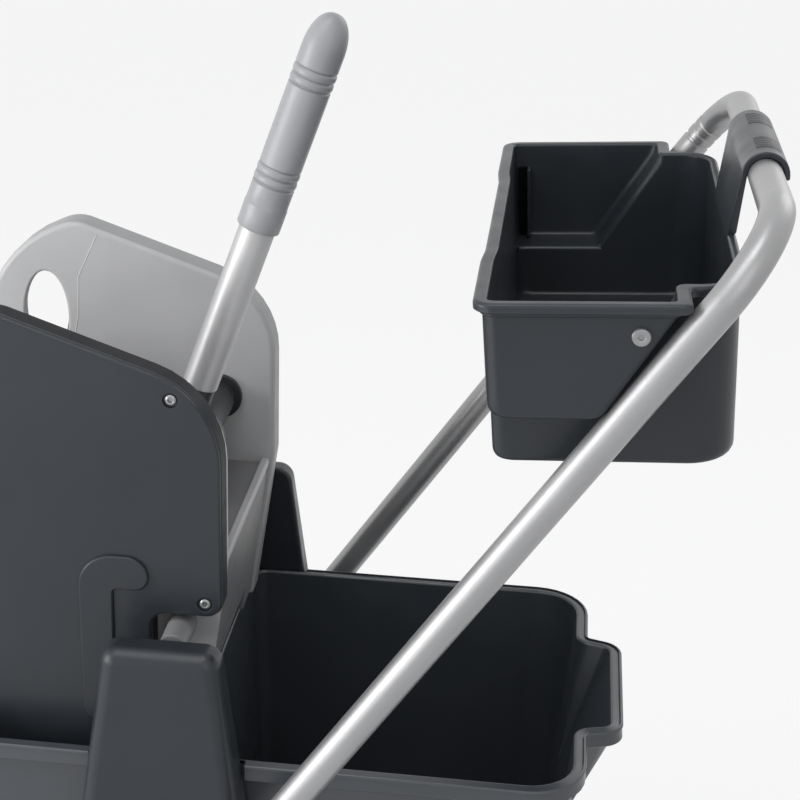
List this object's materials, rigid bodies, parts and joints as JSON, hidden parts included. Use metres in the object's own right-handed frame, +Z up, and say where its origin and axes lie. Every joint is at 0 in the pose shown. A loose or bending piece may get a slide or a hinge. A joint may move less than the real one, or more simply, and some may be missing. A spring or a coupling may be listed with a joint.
{
  "type": "mop bucket trolley",
  "caption": "Mop bucket trolley with a lever wringer over the front bucket, an open rear bucket, tapered posts, a sloping tube push handle with a hung basket, and swivel casters.",
  "frame": {"origin": "on the floor, under the middle of the whole object", "axes": "+X along the trolley towards the push handle, +Y across it, +Z up"},
  "size_m": [0.8114, 0.494, 1.0099],
  "materials": {
    "dark_plastic": "fine grained, dark slate grey",
    "light_plastic": "satin, light grey",
    "aluminium": "satin drawn tube",
    "steel": "zinc plated",
    "grip_plastic": "satin, mid grey",
    "tyre": "grey rubber",
    "black_plastic": "near black"
  },
  "bodies": {
    "chassis": {"chassis_base": "dark_plastic", "left_post": "dark_plastic", "right_post": "dark_plastic", "post_screws": "steel", "push_handle": "aluminium", "handle_bolts": "steel", "caster_plates": "steel", "plate_bolts": "steel", "kingpins": "steel"},
    "front_bucket": {"front_bucket": "dark_plastic"},
    "rear_bucket": {"rear_bucket": "dark_plastic"},
    "wringer": {"left_plate": "light_plastic", "right_plate": "light_plastic", "left_cover": "dark_plastic", "right_cover": "dark_plastic", "cover_screws": "steel", "tie_bar": "light_plastic", "rest_rail": "light_plastic", "rear_bridge": "light_plastic", "strainer": "light_plastic", "shaft_bushes": "black_plastic", "return_springs": "steel"},
    "lever": {"press_shaft": "steel", "press_jaw": "black_plastic", "lever_socket": "black_plastic", "lever_tube": "aluminium", "lever_grip": "grip_plastic"},
    "basket": {"basket": "dark_plastic", "basket_hook": "dark_plastic", "hook_pads": "black_plastic", "basket_bolts": "steel"},
    "swivel_fl": {"fork_fl": "steel", "axle_fl": "steel"},
    "wheel_fl": {"hub_fl": "light_plastic", "tyre_fl": "tyre"},
    "swivel_fr": {"fork_fr": "steel", "axle_fr": "steel"},
    "wheel_fr": {"hub_fr": "light_plastic", "tyre_fr": "tyre"},
    "swivel_rl": {"fork_rl": "steel", "axle_rl": "steel"},
    "wheel_rl": {"hub_rl": "light_plastic", "tyre_rl": "tyre"},
    "swivel_rr": {"fork_rr": "steel", "axle_rr": "steel"},
    "wheel_rr": {"hub_rr": "light_plastic", "tyre_rr": "tyre"}
  },
  "joints": [
    {"name": "front_bucket_slide", "type": "slide", "parent": "chassis", "child": "front_bucket", "axis": [-1, 0, 0], "range_m": [0, 0.3]},
    {"name": "rear_bucket_slide", "type": "slide", "parent": "chassis", "child": "rear_bucket", "axis": [1, 0, 0], "range_m": [0, 0.3]},
    {"name": "wringer_lift", "type": "slide", "parent": "front_bucket", "child": "wringer", "axis": [0, 0, 1], "range_m": [0, 0.2]},
    {"name": "lever_press", "type": "hinge", "parent": "wringer", "child": "lever", "pos_m": [-0.05159, 0, 0.641], "axis": [0, 1, 0], "range_deg": [0, 20], "stiffness_Nm_per_rad": 6, "springref_deg": -22.92},
    {"name": "basket_lift", "type": "slide", "parent": "chassis", "child": "basket", "axis": [0, 0, 1], "range_m": [0, 0.06]},
    {"name": "swivel_fl", "type": "hinge", "parent": "chassis", "child": "swivel_fl", "pos_m": [-0.32709, -0.148, 0.105], "axis": [0, 0, 1], "continuous": true},
    {"name": "roll_fl", "type": "hinge", "parent": "swivel_fl", "child": "wheel_fl", "pos_m": [-0.29509, -0.148, 0.04], "axis": [0, 1, 0], "continuous": true},
    {"name": "swivel_fr", "type": "hinge", "parent": "chassis", "child": "swivel_fr", "pos_m": [-0.32709, 0.148, 0.105], "axis": [0, 0, 1], "continuous": true},
    {"name": "roll_fr", "type": "hinge", "parent": "swivel_fr", "child": "wheel_fr", "pos_m": [-0.29509, 0.148, 0.04], "axis": [0, 1, 0], "continuous": true},
    {"name": "swivel_rl", "type": "hinge", "parent": "chassis", "child": "swivel_rl", "pos_m": [0.24291, -0.148, 0.105], "axis": [0, 0, 1], "continuous": true},
    {"name": "roll_rl", "type": "hinge", "parent": "swivel_rl", "child": "wheel_rl", "pos_m": [0.27491, -0.148, 0.04], "axis": [0, 1, 0], "continuous": true},
    {"name": "swivel_rr", "type": "hinge", "parent": "chassis", "child": "swivel_rr", "pos_m": [0.24291, 0.148, 0.105], "axis": [0, 0, 1], "continuous": true},
    {"name": "roll_rr", "type": "hinge", "parent": "swivel_rr", "child": "wheel_rr", "pos_m": [0.27491, 0.148, 0.04], "axis": [0, 1, 0], "continuous": true}
  ]
}
